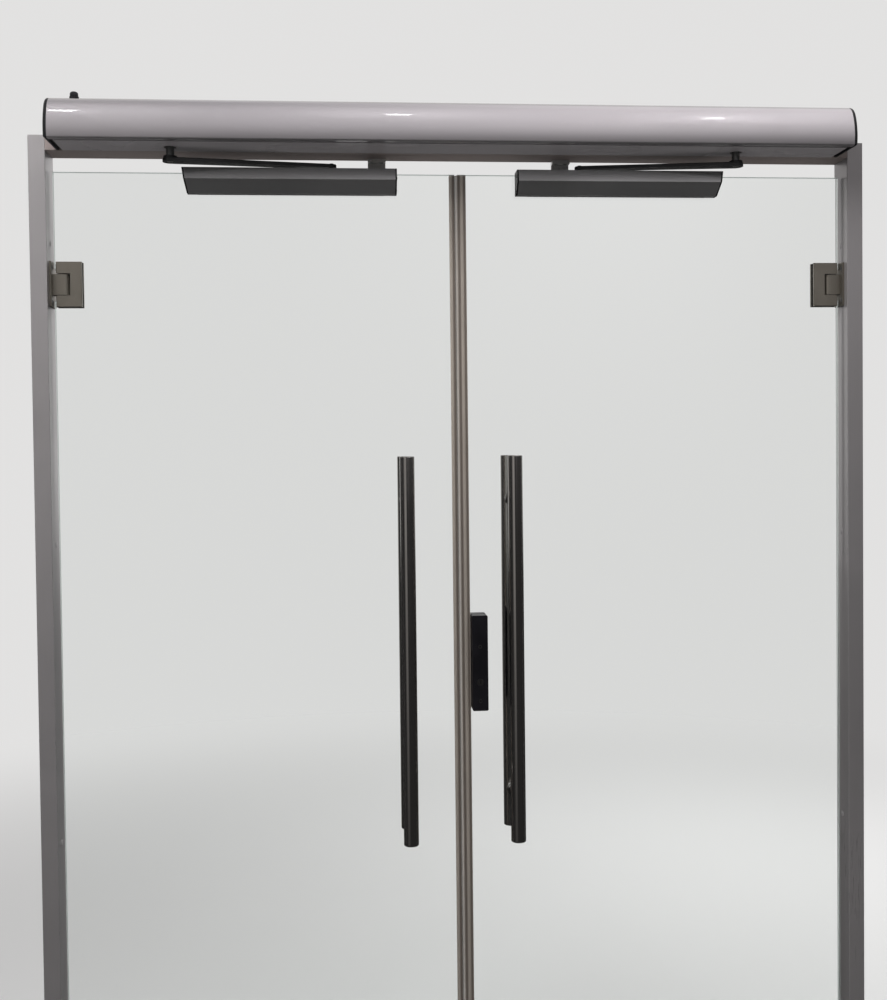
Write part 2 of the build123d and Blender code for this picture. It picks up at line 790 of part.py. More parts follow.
def stop_screw_seat(x, y):
    return Pos(x, y, opening_height - stop_base) * Rot(180, 0, 0)


def door_stop(x):
    """A steel angle under the head: a base plate and a tongue that hangs behind the glass."""
    half = stop_width / 2
    base = brick(x - half, x + half, glass_half + buffer_gap, frame_back,
                 opening_height - stop_base, opening_height)
    for screw_x, screw_y in stop_screw_places():
        if abs(screw_x - x) < half:
            base -= stop_screw_seat(screw_x, screw_y) * screw(
                screw_r + running_gap, stop_base + 1, screw_head_r + running_gap, screw_head_height)
    tongue = brick(x - half, x + half, frame_back - stop_core, frame_back,
                   opening_height - stop_drop, opening_height - stop_base)
    return base + fillet(tongue.edges().filter_by(Axis.Y).sort_by(Axis.Z)[:2], 3)


def stop_buffer(x):
    """The black rubber block on the tongue that the leaf closes against."""
    half = stop_width / 2 - 1
    block = brick(x - half, x + half, glass_half + buffer_gap, frame_back - stop_core,
                  opening_height - stop_drop + 1, opening_height - stop_base)
    return fillet(block.edges().filter_by(Axis.X).sort_by(Axis.Z)[0:1], 3)


# Pull handles

def pull_handle(side):
    """A round tube with closed ends. side is -1 in front of the glass and 1 behind."""
    z0 = handle_centre_height - handle_length / 2
    z1 = handle_centre_height + handle_length / 2
    y = side * handle_standoff
    tube = rod_z(handle_r, z0, z1, handle_from_meeting, y)
    tube = fillet(tube.edges(), handle_edge)
    tube -= rod_z(handle_r - handle_wall, z0 + handle_wall * 2, z1 - handle_wall * 2,
                  handle_from_meeting, y)
    return tube


def handle_standoffs():
    """Posts with round feet on both faces of the glass, drawn together by studs."""
    pieces = []
    x = handle_from_meeting
    for level in post_levels:
        for side in (-1, 1):
            foot = rod_y(post_foot_r, side * glass_half, side * (glass_half + post_foot), x, level)
            post = rod_y(post_r, side * glass_half, side * handle_standoff, x, level) + foot
            post -= rod_z(handle_r, level - post_r * 2, level + post_r * 2, x, side * handle_standoff)
            post -= rod_y(stud_r, 0, side * (glass_half + stud_grip), x, level)
            pieces.append(post)
        reach = glass_half + stud_grip - 1
        pieces.append(rod_y(stud_r, -reach, reach, x, level))
    return group(pieces)


# Lock

def lock_case(side):
    """Half of the lock: a deep shell on one face of the glass. side -1 is the front."""
    face = side * glass_half
    outer = face + side * lock_depth
    x0 = lock_from_meeting
    x1 = x0 + lock_width
    case = brick(x0, x1, face, outer, lock_bottom, lock_top)
    case = fillet(case.edges().filter_by(Axis.Y), lock_round)
    rim = case.faces().sort_by(Axis.Y)[0 if side < 0 else -1].edges()
    case = chamfer(rim, 1)
    case -= brick(x0 + lock_wall, x1 - lock_wall, face, outer - side * lock_wall,
                  lock_bottom + lock_wall, lock_top - lock_wall)
    for level in lock_screw_levels:
        case += rod_y(lock_boss_r, face, outer - side * lock_wall, lock_x, level)
    case -= rod_y(plug_r + plug_gap, face, outer + side, lock_x, lock_pivot_z)
    near = face + side * (bolt_clear - 1)
    far = near + side * (bolt_thick + 2)
    case -= brick(x0 - 1, x0 + lock_wall + 1, near, far, lock_pivot_z - bolt_width / 2 - 1,
                  lock_pivot_z + bolt_length + 1)
    return case


def lock_bolts():
    """Two swinging bolts, one over each face of the glass, shown drawn back and upright."""
    bars = []
    for side in (-1, 1):
        y0 = side * (glass_half + bolt_clear)
        y1 = y0 + side * bolt_thick
        bar = rod_y(bolt_hub_r, y0, y1, lock_x, lock_pivot_z)
        tip = bolt_length - bolt_width / 2
        bar += brick(lock_x - bolt_width / 2, lock_x + bolt_width / 2, y0, y1,
                     lock_pivot_z, lock_pivot_z + tip)
        bar += rod_y(bolt_width / 2, y0, y1, lock_x, lock_pivot_z + tip)
        half = lock_square / 2 + running_gap
        bar -= brick(lock_x - half, lock_x + half, y0 - side, y1 + side,
                     lock_pivot_z - half, lock_pivot_z + half)
        bars.append(bar)
    return group(bars)


def lock_spindle():
    """The square bar with the key plug in front and the thumb turn behind."""
    outer = glass_half + lock_depth
    half = lock_square / 2
    inner = outer - lock_wall - 3
    bar = brick(lock_x - half, lock_x + half, -inner, inner, lock_pivot_z - half, lock_pivot_z + half)
    plug = rod_y(plug_r, -outer, -inner, lock_x, lock_pivot_z)
    plug -= brick(lock_x - 0.6, lock_x + 0.6, -outer - 1, -outer + 3,
                  lock_pivot_z - plug_r * 0.6, lock_pivot_z + plug_r * 0.6)
    collar = rod_y(plug_r, inner, outer + 1, lock_x, lock_pivot_z)
    disc = rod_y(turn_r, outer + 0.6, outer + 3, lock_x, lock_pivot_z)
    grip = brick(lock_x - turn_grip / 2, lock_x + turn_grip / 2, outer + 2, outer + turn_length,
                 lock_pivot_z - turn_r + 0.5, lock_pivot_z + turn_r - 0.5)
    grip = fillet(grip.edges().filter_by(Axis.Y), 2)
    return bar + plug + collar + disc + grip


def on_side(shape, side):
    """The right-hand shape as it is, or its mirror image for the left."""
    return shape if side == "right" else mirror(shape, about=Plane.YZ)


nodes = {
    "head_rail": head_rail(),
    "operator_chassis": operator_chassis(),
    "head_screws": head_screws(),
    "header_cover": header_cover(),
    "control_unit": control_unit(),
    "power_supply": power_supply(),
    "cable_gland": cable_gland(),
    "door_stop_left": door_stop(-stop_left_x),
    "door_stop_right": door_stop(stop_right_x),
    "stop_buffers": group([stop_buffer(-stop_left_x), stop_buffer(stop_right_x)]),
    "meeting_seal": meeting_seal(),
    "lock_case_front": lock_case(-1),
    "lock_case_rear": lock_case(1),
    "lock_bolts": lock_bolts(),
    "lock_spindle": lock_spindle(),
}

screws_one_jamb = bracket_screws()
nodes["bracket_screws"] = group(
    [on_side(piece, side) for side in ("left", "right") for piece in screws_one_jamb])

paired = {
    "jamb": jamb(),
    "hinge_brackets": hinge_brackets(),
    "hinge_front_plates": hinge_front_plates(),
    "hinge_rear_plates": hinge_rear_plates(),
    "hinge_screws": hinge_screws(),
    "hinge_pins": hinge_pins(),
    "hinge_gaskets": hinge_gaskets(),
    "slide_rail": slide_rail(),
    "rail_end_caps": rail_end_caps(),
    "rail_back_plate": rail_back_plate(),
    "rail_bolts": rail_bolts(),
    "slide_shoe": shoe(),
    "end_cap": end_cap(),
    "gearbox": gearbox(),
    "motor": motor(),
    "spindle": spindle(),
    "drive_arm": drive_arm(),
    "arm_screw": arm_screw(),
    "pull_handle_front": pull_handle(-1),
    "pull_handle_rear": pull_handle(1),
    "handle_standoffs": handle_standoffs(),
}
for side in ("left", "right"):
    nodes["glass_leaf_" + side] = on_side(glass_leaf(side == "right"), side)
    for name, shape in paired.items():
        nodes[name + "_" + side] = on_side(shape, side)

os.makedirs("parts", exist_ok=True)
for name, shape in nodes.items():
    export_step(shape, "parts/" + name + ".step")
print(len(nodes), "nodes written")
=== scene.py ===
import math

import bmesh
import bpy
from mathutils import Matrix, Vector


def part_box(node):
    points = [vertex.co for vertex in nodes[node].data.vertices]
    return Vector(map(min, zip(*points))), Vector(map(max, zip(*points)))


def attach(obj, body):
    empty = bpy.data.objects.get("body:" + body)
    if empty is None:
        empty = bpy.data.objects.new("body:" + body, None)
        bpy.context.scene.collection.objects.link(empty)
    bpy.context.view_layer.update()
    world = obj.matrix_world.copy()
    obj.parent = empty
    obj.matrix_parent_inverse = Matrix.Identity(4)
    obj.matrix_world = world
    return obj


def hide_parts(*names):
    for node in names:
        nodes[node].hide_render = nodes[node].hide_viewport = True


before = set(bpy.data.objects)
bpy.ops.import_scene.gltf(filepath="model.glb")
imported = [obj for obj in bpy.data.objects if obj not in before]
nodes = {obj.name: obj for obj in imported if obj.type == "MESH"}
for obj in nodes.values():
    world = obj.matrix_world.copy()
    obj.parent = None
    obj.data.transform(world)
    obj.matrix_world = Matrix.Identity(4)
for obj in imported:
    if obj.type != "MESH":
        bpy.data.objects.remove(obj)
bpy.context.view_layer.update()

# Camera, at eye height a little left of the middle. Its place and lens come from the
# door's own straight edges, so the picture holds the door from above the housing down to
# below the handles.
image_width = 887
film_width = 36
view_end = 120
focal_px = 1186.6
camera_place = Vector((-0.2298, -2.42989, 1.53194))
camera_yaw = 0.0815
camera_pitch = -0.02443
camera_roll = -0.01118
centre_rise_px = 21.5


def add_object(name, data):
    """A new object in the scene."""
    thing = bpy.data.objects.new(name, data)
    bpy.context.scene.collection.objects.link(thing)
    return thing


forward = Vector((
    math.sin(camera_yaw) * math.cos(camera_pitch),
    math.cos(camera_yaw) * math.cos(camera_pitch),
    math.sin(camera_pitch)))
level_right = Vector((math.cos(camera_yaw), -math.sin(camera_yaw), 0))
level_up = level_right.cross(forward)
right = math.cos(camera_roll) * level_right + math.sin(camera_roll) * level_up
up = -math.sin(camera_roll) * level_right + math.cos(camera_roll) * level_up
turn = Matrix((right, up, -forward)).transposed()

lens = bpy.data.cameras.new("door_view")
lens.sensor_fit = "HORIZONTAL"
lens.sensor_width = film_width
lens.lens = focal_px * film_width / image_width
lens.shift_y = -centre_rise_px / image_width
lens.clip_end = view_end
camera = add_object("door_view", lens)
camera.matrix_world = Matrix.Translation(camera_place) @ turn.to_4x4()
bpy.context.scene.camera = camera

# Floor, a plain pale plane that carries the door's shadow. Away from the door it is seen in
# the even tone of the background, so that no horizon shows, but it lights nothing. Polished
# metal mirrors it through the glass as dimly as the rest of the hall's lower half.
studio_tone = (0.76, 0.755, 0.75)
hall_low = (0.032, 0.031, 0.031)
floor_pale = (0.80, 0.795, 0.79)
floor_bounce = (0.50, 0.495, 0.49)
floor_roughness = 0.9
floor_gloss = 0.1
floor_half = 12.0
floor_fade = (1.2, 4.5)
half_bounce = 0.5


def new_material(name):
    """A material, its node tree and its Principled shader."""
    material = bpy.data.materials.new(name)
    material.use_nodes = True
    return material, material.node_tree, material.node_tree.nodes["Principled BSDF"]


def fill_inputs(tree, node, values):
    """Fills a node's inputs, named or numbered. Each value is plain or another node's socket."""
    for key, value in values.items():
        if isinstance(value, bpy.types.NodeSocket):
            tree.links.new(value, node.inputs[key])
        else:
            node.inputs[key].default_value = value


def add_node(tree, kind, values, **settings):
    """A new node with its settings made and its inputs filled."""
    node = tree.nodes.new(kind)
    for key, value in settings.items():
        setattr(node, key, value)
    fill_inputs(tree, node, values)
    return node


def rise(tree, source, span, kind="SMOOTHSTEP"):
    """Runs from 0 to 1 while a socket crosses a span."""
    node = add_node(tree, "ShaderNodeMapRange",
                    {"Value": source, "From Min": span[0], "From Max": span[1]},
                    interpolation_type=kind)
    return node.outputs["Result"]


def combine(tree, operation, *parts):
    """One calculation with sockets and plain numbers."""
    node = add_node(tree, "ShaderNodeMath", dict(enumerate(parts)), operation=operation)
    return node.outputs["Value"]


def mixed(tree, amount, first, second):
    """A colour between two colours, each a socket or a plain colour."""
    ends = [(*end, 1) if isinstance(end, tuple) else end for end in (first, second)]
    node = add_node(tree, "ShaderNodeMix", {"Factor": amount, "A": ends[0], "B": ends[1]},
                    data_type="RGBA")
    return node.outputs["Result"]


def choose(tree, amount, first, second):
    """The first shader where the amount is 0, and the second where it is 1."""
    node = add_node(tree, "ShaderNodeMixShader", {"Fac": amount, 1: first, 2: second})
    return node.outputs["Shader"]


floor_mesh = bpy.data.meshes.new("floor")
floor_mesh.from_pydata(
    [(-floor_half, -floor_half, 0), (floor_half, -floor_half, 0),
     (floor_half, floor_half, 0), (-floor_half, floor_half, 0)], [], [(0, 1, 2, 3)])
floor = add_object("floor", floor_mesh)
floor_paint, tree, shader = new_material("floor_paint")
place = add_node(tree, "ShaderNodeTexCoord", {})
distance = add_node(tree, "ShaderNodeVectorMath", {0: place.outputs["Object"]}, operation="LENGTH")
floor_path = add_node(tree, "ShaderNodeLightPath", {})
floor_first = combine(tree, "LESS_THAN", floor_path.outputs["Diffuse Depth"], half_bounce)
fill_inputs(tree, shader, {
    "Base Color": mixed(tree, floor_first, floor_bounce, floor_pale),
    "Roughness": floor_roughness, "Specular IOR Level": floor_gloss})
seen_far = combine(tree, "MULTIPLY", rise(tree, distance.outputs["Value"], floor_fade), floor_first)
plain = add_node(tree, "ShaderNodeEmission", {"Color": (*studio_tone, 1)})
blend = choose(tree, seen_far, shader.outputs["BSDF"], plain.outputs["Emission"])
mirrored_floor = combine(tree, "GREATER_THAN", floor_path.outputs["Glossy Depth"], half_bounce)
dim = add_node(tree, "ShaderNodeEmission", {"Color": (*hall_low, 1)})
dimmed = choose(tree, mirrored_floor, blend, dim.outputs["Emission"])
tree.links.new(dimmed, tree.nodes["Material Output"].inputs["Surface"])
floor_mesh.materials.append(floor_paint)
floor.visible_glossy = False

# Surroundings. The background is pale where it is seen directly or through the glass. What
# polished metal mirrors is a dim hall in front with a light ceiling, brighter on the right,
# one tall soft light on the left, and the pale studio behind the door.
fill_strength = 0.11
ceiling_left = (0.31, 0.30, 0.31)
ceiling_right = (1.15, 1.115, 1.13)
ceiling_span = (-0.12, 0.24)
hall_span = (-0.08, 0.45)
hall_end_span = (-0.10, 0.95)
hall_end_side = (0.24, 0.40)
tall_light = (0.62, 0.60, 0.58)
tall_span = (-0.42, 0.25)
tall_right = (-0.24, -0.40)
tall_left = (-0.90, -0.62)
behind_back = (0.25, 0.65)
behind_left = (-0.62, -0.36)
behind_low = (-0.14, 0.0)
one_bounce = (0.4, 0.6)
no_bounce = (0.6, 0.4)

world = bpy.data.worlds.new("studio")
bpy.context.scene.world = world
world.use_nodes = True
sky = world.node_tree
sky.nodes.clear()
direction = add_node(sky, "ShaderNodeTexCoord", {})
split = add_node(sky, "ShaderNodeSeparateXYZ", {"Vector": direction.outputs["Generated"]})
sky_path = add_node(sky, "ShaderNodeLightPath", {})


def sky_rise(axis, span):
    """Runs from 0 to 1 while the direction's share along an axis crosses a span."""
    return rise(sky, split.outputs[axis], span)


def sky_light(colour, strength):
    """A background shader."""
    node = add_node(sky, "ShaderNodeBackground", {"Color": colour, "Strength": strength})
    return node.outputs["Background"]


ceiling = mixed(sky, sky_rise("X", ceiling_span), ceiling_left, ceiling_right)
hall = mixed(sky, sky_rise("Z", hall_span), hall_low, ceiling)
hall_end = mixed(sky, sky_rise("Z", hall_end_span), hall_low, ceiling)
hall = mixed(sky, sky_rise("X", hall_end_side), hall, hall_end)
tall = mixed(sky, sky_rise("Z", tall_span), hall_low, tall_light)
tall_side = combine(sky, "MULTIPLY", sky_rise("X", tall_right), sky_rise("X", tall_left))
hall = mixed(sky, tall_side, hall, tall)
behind = combine(sky, "MULTIPLY", sky_rise("Y", behind_back), sky_rise("X", behind_left))
behind = combine(sky, "MULTIPLY", behind, sky_rise("Z", behind_low))
mirrored = mixed(sky, behind, hall, studio_tone)
after_mirror = rise(sky, sky_path.outputs["Glossy Depth"], one_bounce)
seen_plain = combine(sky, "MAXIMUM", sky_path.outputs["Is Camera Ray"],
                     sky_path.outputs["Is Transmission Ray"])
seen_mirror = combine(sky, "MAXIMUM", sky_path.outputs["Is Glossy Ray"], seen_plain)
sky_first = rise(sky, sky_path.outputs["Diffuse Depth"], no_bounce)
seen_mirror = combine(sky, "MULTIPLY", seen_mirror, sky_first)
view_light = choose(sky, after_mirror, sky_light((*studio_tone, 1), 1), sky_light(mirrored, 1))
world_light = choose(sky, seen_mirror, sky_light((1, 1, 1, 1), fill_strength), view_light)
add_node(sky, "ShaderNodeOutputWorld", {"Surface": world_light})

# Lamps: a softbox high on the left in front, whose light falls off down the door, a weaker
# one on the right, one on the far side, and three small ceiling lamps whose glints lie along
# the housing's front.
softboxes = (
    ("soft_left", (-1.0, -1.3, 3.4), (-0.3, 0, 1.5), 1.4, 54),
    ("soft_right", (2.4, -2.6, 2.6), (0, 0, 1.4), 1.8, 3),
    ("soft_far", (2.0, 2.5, 3.0), (-0.2, 0.2, 0.9), 2.2, 125),
)
glint_places = (-0.755, -0.120, 0.499)
glint_y = -0.1331
glint_z = 2.1801
ceiling_lamp_y = -1.30
ceiling_lamp_z = 3.559
ceiling_lamp_lean = 0.6
ceiling_lamp_size = 0.085
ceiling_lamp_power = 0.9


def hang_lamp(name, place, target, size, power, shape):
    """An area lamp at a place, aimed at a target."""
    light = bpy.data.lights.new(name, "AREA")
    light.shape = shape
    light.size = size
    light.energy = power
    lamp = add_object(name, light)
    aim = Vector(target) - Vector(place)
    lamp.matrix_world = Matrix.Translation(place) @ aim.to_track_quat("-Z", "Y").to_matrix().to_4x4()
    return lamp


for name, spot, target, size, power in softboxes:
    softbox = hang_lamp(name, spot, target, size, power, "SQUARE")
    softbox.visible_glossy = False
    softbox.visible_transmission = False
to_surface = math.hypot(glint_y - camera_place.y, glint_z - camera_place.z)
to_lamp = math.hypot(glint_y - ceiling_lamp_y, ceiling_lamp_z - glint_z)
for number, glint_x in enumerate(glint_places):
    lamp_x = glint_x + (glint_x - camera_place.x) * to_lamp / to_surface
    hang_lamp("ceiling_lamp_%d" % number, (lamp_x, ceiling_lamp_y, ceiling_lamp_z),
              (lamp_x, ceiling_lamp_y + ceiling_lamp_lean, 0), ceiling_lamp_size,
              ceiling_lamp_power, "DISK")

# Jambs, hollow aluminium uprights drawn through a die and anodised to a satin grey. The die
# leaves fine lines along each length, handling leaves dull patches, and dust settles on
# whatever faces up.
jamb_grey = (0.44, 0.418, 0.424)
dust_grey = (0.40, 0.385, 0.36)
grain_detail = 4
grain_share = 0.45
patch_detail = 3
patch_wander = 0.6
patch_span = (0.38, 0.66)
wear_full = 1.3
dust_slope = (0.7, 0.98)
dust_roughness = 0.85


def new_group(kind, name, inputs, outputs):
    """A node group with named inputs and outputs, its given sockets and its last node."""
    group = bpy.data.node_groups.new(name, kind)
    for sense, sockets in (("INPUT", inputs), ("OUTPUT", outputs)):
        for socket, value in sockets.items():
            group.interface.new_socket(socket, in_out=sense, socket_type="NodeSocket" + value)
    given = group.nodes.new("NodeGroupInput")
    return group, given.outputs, group.nodes.new("NodeGroupOutput")


def make_worked_surface():
    """A group for metal, lacquer and plastic: fine lines or grain, soft patches and dust."""
    group, given, result = new_group(
        "ShaderNodeTree", "worked_surface",
        {"Colour": "Color", "Patch Colour": "Color", "Lines": "Vector", "Grain Scale": "Float",
         "Patch Scale": "Float", "Smooth": "Float", "Rough": "Float", "Depth": "Float",
         "Dust": "Float"},
        {"Colour": "Color", "Roughness": "Float", "Normal": "Vector"})
    spot = add_node(group, "ShaderNodeTexCoord", {})
    stretched = add_node(group, "ShaderNodeVectorMath",
                         {0: spot.outputs["Object"], 1: given["Lines"]}, operation="MULTIPLY")
    grain = add_node(group, "ShaderNodeTexNoise", {
        "Vector": stretched.outputs["Vector"], "Scale": given["Grain Scale"],
        "Detail": grain_detail})
    patches = add_node(group, "ShaderNodeTexNoise", {
        "Vector": spot.outputs["Object"], "Scale": given["Patch Scale"],
        "Detail": patch_detail, "Distortion": patch_wander})
    wear = combine(group, "MULTIPLY_ADD", grain.outputs["Fac"], grain_share,
                   rise(group, patches.outputs["Fac"], patch_span))
    colour = mixed(group, wear, given["Colour"], given["Patch Colour"])
    rough = add_node(group, "ShaderNodeMapRange", {
        "Value": wear, "From Max": wear_full, "To Min": given["Smooth"], "To Max": given["Rough"]})
    bump = add_node(group, "ShaderNodeBump",
                    {"Height": grain.outputs["Fac"], "Distance": given["Depth"]})
    level = add_node(group, "ShaderNodeSeparateXYZ", {"Vector": spot.outputs["Normal"]})
    settled = combine(group, "MULTIPLY", rise(group, level.outputs["Z"], dust_slope), given["Dust"])
    settled = combine(group, "MULTIPLY", settled, wear)
    dull = add_node(group, "ShaderNodeMix",
                    {"Factor": settled, "A": rough.outputs["Result"], "B": dust_roughness})
    fill_inputs(group, result, {
        "Colour": mixed(group, settled, colour, dust_grey),
        "Roughness": dull.outputs["Result"], "Normal": bump.outputs["Normal"]})
    return group


worked_surface = make_worked_surface()


def make_finish(name, colour, metallic, smooth, rough, lines=(1, 1, 1), grain=600, patches=6,
                shade=0.86, depth=0.00003, dust=0.0, gloss=0.5):
    """A material whose colour, roughness and relief come from the worked surface."""
    finish, tree, shader = new_material(name)
    worked = add_node(tree, "ShaderNodeGroup", {
        "Colour": (*colour, 1), "Patch Colour": (*[part * shade for part in colour], 1),
        "Lines": lines, "Grain Scale": grain, "Patch Scale": patches, "Smooth": smooth,
        "Rough": rough, "Depth": depth, "Dust": dust}, node_tree=worked_surface)
    fill_inputs(tree, shader, {
        "Base Color": worked.outputs["Colour"], "Roughness": worked.outputs["Roughness"],
        "Normal": worked.outputs["Normal"], "Metallic": metallic, "Specular IOR Level": gloss})
    return finish


def dress(node, finish):
    """Gives a CAD node its finish."""
    mesh = nodes[node].data
    mesh.materials.clear()
    mesh.materials.append(finish)


anodised_upright = make_finish("anodised_upright", jamb_grey, 0.4, 0.26, 0.36,
                               lines=(1, 1, 0.02), grain=900, patches=2.5)
for side in ("left", "right"):
    dress("jamb_" + side, anodised_upright)

# Head rail, the same hollow profile laid across the opening in the jambs' anodised aluminium,
# with steel screws that hold the operator and the door stops to it. Its grey is painted darker
# and browner than the jambs' as painted shade, for the shade that falls under the housing.
# Painted shade: a darker, browner grey than the jambs' for the same anodised aluminium.
head_painted_shade = (0.34, 0.288, 0.275)
screw_grey = (0.50, 0.50, 0.50)
head_height_share = 0.52
shank_share_usual = 0.5
crease_angle = math.radians(32)
solid_weld = 0.00001
first_screw_seed = 3

head_anodising_painted_shade = make_finish("head_anodising_painted_shade", head_painted_shade, 0.1, 0.26, 0.38, lines=(0.02, 1, 1),
                            grain=900, patches=2.5, gloss=0.12)
dress("head_rail", head_anodising_painted_shade)
screw_steel = make_finish("screw_steel", screw_grey, 0.9, 0.24, 0.38, grain=700, patches=30)


def circle(angle):
    """A circle lies equally far out at every angle."""
    return 1.0


def hexagon(angle):
    """How far a hexagon's side lies at an angle, where its corners lie at 1."""
    sixth = math.pi / 3
    return math.cos(sixth / 2) / math.cos(angle % sixth - sixth / 2)


def skin(name, rings):
    """A closed mesh over rings of corners, from the first end to the last."""
    shape = bmesh.new()
    loops = [[shape.verts.new(corner) for corner in ring] for ring in rings]
    for lower, upper in zip(loops, loops[1:]):
        for step in range(len(lower)):
            after = (step + 1) % len(lower)
            shape.faces.new((lower[step], lower[after], upper[after], upper[step]))
    shape.faces.new(reversed(loops[0]))
    shape.faces.new(loops[-1])
    bmesh.ops.recalc_face_normals(shape, faces=shape.faces)
    mesh = bpy.data.meshes.new(name)
    shape.to_mesh(mesh)
    shape.free()
    mesh.shade_smooth()
    mesh.set_sharp_from_angle(angle=crease_angle)
    return mesh


def turned(name, rings, steps=24):
    """A closed solid about Z. Its rings, each an outline, a radius and a height, run from
    the lower end up the outside and then down into any recess."""
    angles = [2 * math.pi * step / steps for step in range(steps)]
    return skin(name, [[(radius * outline(angle) * math.cos(angle),
                         radius * outline(angle) * math.sin(angle), level) for angle in angles]
                       for outline, radius, level in rings])


def countersunk_screw(name, head, shank, length, head_height):
    """A flat-headed screw with a hexagon socket, its head's face at the origin."""
    tip = shank * 0.6
    point = shank * 0.5
    rim = head * 0.06
    socket_mouth = head * 0.50
    socket = head * 0.44
    socket_depth = head_height * 0.75
    return turned(name, (
        (circle, tip, -length), (circle, shank, point - length),
        (circle, shank, -head_height), (circle, head, -rim), (circle, head - rim, 0),
        (hexagon, socket_mouth, 0), (hexagon, socket, -rim), (hexagon, socket, -socket_depth)))


def separate_solids(node):
    """The lowest and highest corners of each separate solid of a CAD node."""
    copy = bmesh.new()
    copy.from_mesh(nodes[node].data)
    bmesh.ops.remove_doubles(copy, verts=copy.verts, dist=solid_weld)
    waiting = set(copy.verts)
    boxes = []
    while waiting:
        solid = [waiting.pop()]
        for vert in solid:
            for edge in vert.link_edges:
                other = edge.other_vert(vert)
                if other in waiting:
                    waiting.remove(other)
                    solid.append(other)
        low = Vector([min(vert.co[axis] for vert in solid) for axis in range(3)])
        high = Vector([max(vert.co[axis] for vert in solid) for axis in range(3)])
        boxes.append((low, high))
    copy.free()
    return sorted(boxes, key=lambda box: tuple(round(value, 5) for value in box[0]))


def end_tree(tree, shape, given, result):
    """Makes the shape real and paints it at the end of a Geometry Nodes tree."""
    real = add_node(tree, "GeometryNodeRealizeInstances", {"Geometry": shape})
    paint = add_node(tree, "GeometryNodeSetMaterial",
                     {"Geometry": real.outputs["Geometry"], "Material": given["Finish"]})
    fill_inputs(tree, result, {"Geometry": paint.outputs["Geometry"]})
    return tree


def make_seating_tree():
    """Copies a pattern onto points, each along the point's own aim, as one plain mesh."""
    tree, given, result = new_group(
        "GeometryNodeTree", "seated_copies",
        {"Geometry": "Geometry", "Pattern": "Object", "Turn Seed": "Int", "Finish": "Material"},
        {"Geometry": "Geometry"})
    aim = add_node(tree, "GeometryNodeInputNamedAttribute", {"Name": "aim"},
                   data_type="FLOAT_VECTOR")
    along = add_node(tree, "FunctionNodeAlignRotationToVector",
                     {"Vector": aim.outputs["Attribute"]}, axis="Z")
    chance = add_node(tree, "FunctionNodeRandomValue",
                      {"Max": 2 * math.pi, "Seed": given["Turn Seed"]})
    spin = add_node(tree, "FunctionNodeAxisAngleToRotation",
                    {"Axis": (0, 0, 1), "Angle": chance.outputs["Value"]})
    turned_in = add_node(
        tree, "FunctionNodeRotateRotation",
        {"Rotation": along.outputs["Rotation"], "Rotate By": spin.outputs["Rotation"]},
        rotation_space="LOCAL")
    pattern = add_node(tree, "GeometryNodeObjectInfo", {"Object": given["Pattern"]})
    copies = add_node(tree, "GeometryNodeInstanceOnPoints", {
        "Points": given["Geometry"], "Instance": pattern.outputs["Geometry"],
        "Rotation": turned_in.outputs["Rotation"]})
    return end_tree(tree, copies.outputs["Instances"], given, result)


seated_copies = make_seating_tree()


def grow(name, tree, source, values, body):
    """The piece that a Geometry Nodes tree makes from a source mesh."""
    holder = add_object(name + "_source", source)
    modifier = holder.modifiers.new(name, "NODES")
    modifier.node_group = tree
    for item in tree.interface.items_tree:
        if item.in_out == "INPUT" and item.name in values:
            modifier[item.identifier] = values[item.name]
    depsgraph = bpy.context.evaluated_depsgraph_get()
    mesh = bpy.data.meshes.new_from_object(holder.evaluated_get(depsgraph))
    mesh.name = name
    bpy.data.objects.remove(holder)
    piece = add_object(name, mesh)
    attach(piece, body)
    return piece


def seat_copies(name, pattern_mesh, places, finish, body, seed=1):
    """One piece of equal parts. places holds each part's spot and the way its head faces."""
    pattern = add_object(name + "_pattern", pattern_mesh)
    points = bpy.data.meshes.new(name + "_points")
    points.from_pydata([place[0] for place in places], [], [])
    aims = points.attributes.new("aim", "FLOAT_VECTOR", "POINT")
    for item, place in zip(aims.data, places):
        item.vector = place[1]
    values = {"Pattern": pattern, "Turn Seed": seed, "Finish": finish}
    piece = grow(name, seated_copies, points, values, body)
    bpy.data.objects.remove(pattern)
    return piece


def screw_seats(node, facing):
    """Each screw's head face, the way it faces, its radius and its length. facing gives the
    head's sense along the screw from the middle of the screw."""
    seats = []
    for low, high in separate_solids(node):
        size = high - low
        axis = max(range(3), key=lambda index: size[index])
        spot = (low + high) / 2
        aim = Vector((0, 0, 0))
        aim[axis] = facing(spot)
        spot[axis] = high[axis] if aim[axis] > 0 else low[axis]
        radius = min(value for index, value in enumerate(size) if index != axis) / 2
        seats.append((spot, aim, radius, size[axis]))
    return seats


def fit_screws(node, body, facing, shank_share=shank_share_usual, head_share=head_height_share):
    """Puts socket-headed screws in place of a CAD node's plain ones."""
    kinds = {}
    for spot, aim, radius, length in screw_seats(node, facing):
        kinds.setdefault((round(radius, 5), round(length, 5)), []).append((spot, aim))
    for number, ((radius, length), places) in enumerate(sorted(kinds.items())):
        name = node + ("_detail" if number == 0 else "_detail_%d" % (number + 1))
        pattern = countersunk_screw(name, radius, radius * shank_share, length, radius * head_share)
        piece = seat_copies(name, pattern, places, screw_steel, body,
                            seed=first_screw_seed + number)
        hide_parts(node)


fit_screws("head_screws", "frame", lambda spot: -1)

# Jamb plugs, moulded in the jambs' own grey. Once the frame is screwed to the wall, one is
# pushed into the mouth of each fixing hole.
plug_levels = (0.150, 0.750, 1.350, 1.950)
plug_shank = 0.0043
plug_depth = 0.0022
plug_taper = 0.0014
plug_tip = plug_shank * 0.85
plug_head = 0.0062
plug_rise = 0.0011
plug_dome = ((1, 0.35), (0.86, 0.8), (0.5, 1), (0.1, 1))
jamb_low, jamb_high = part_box("jamb_right")

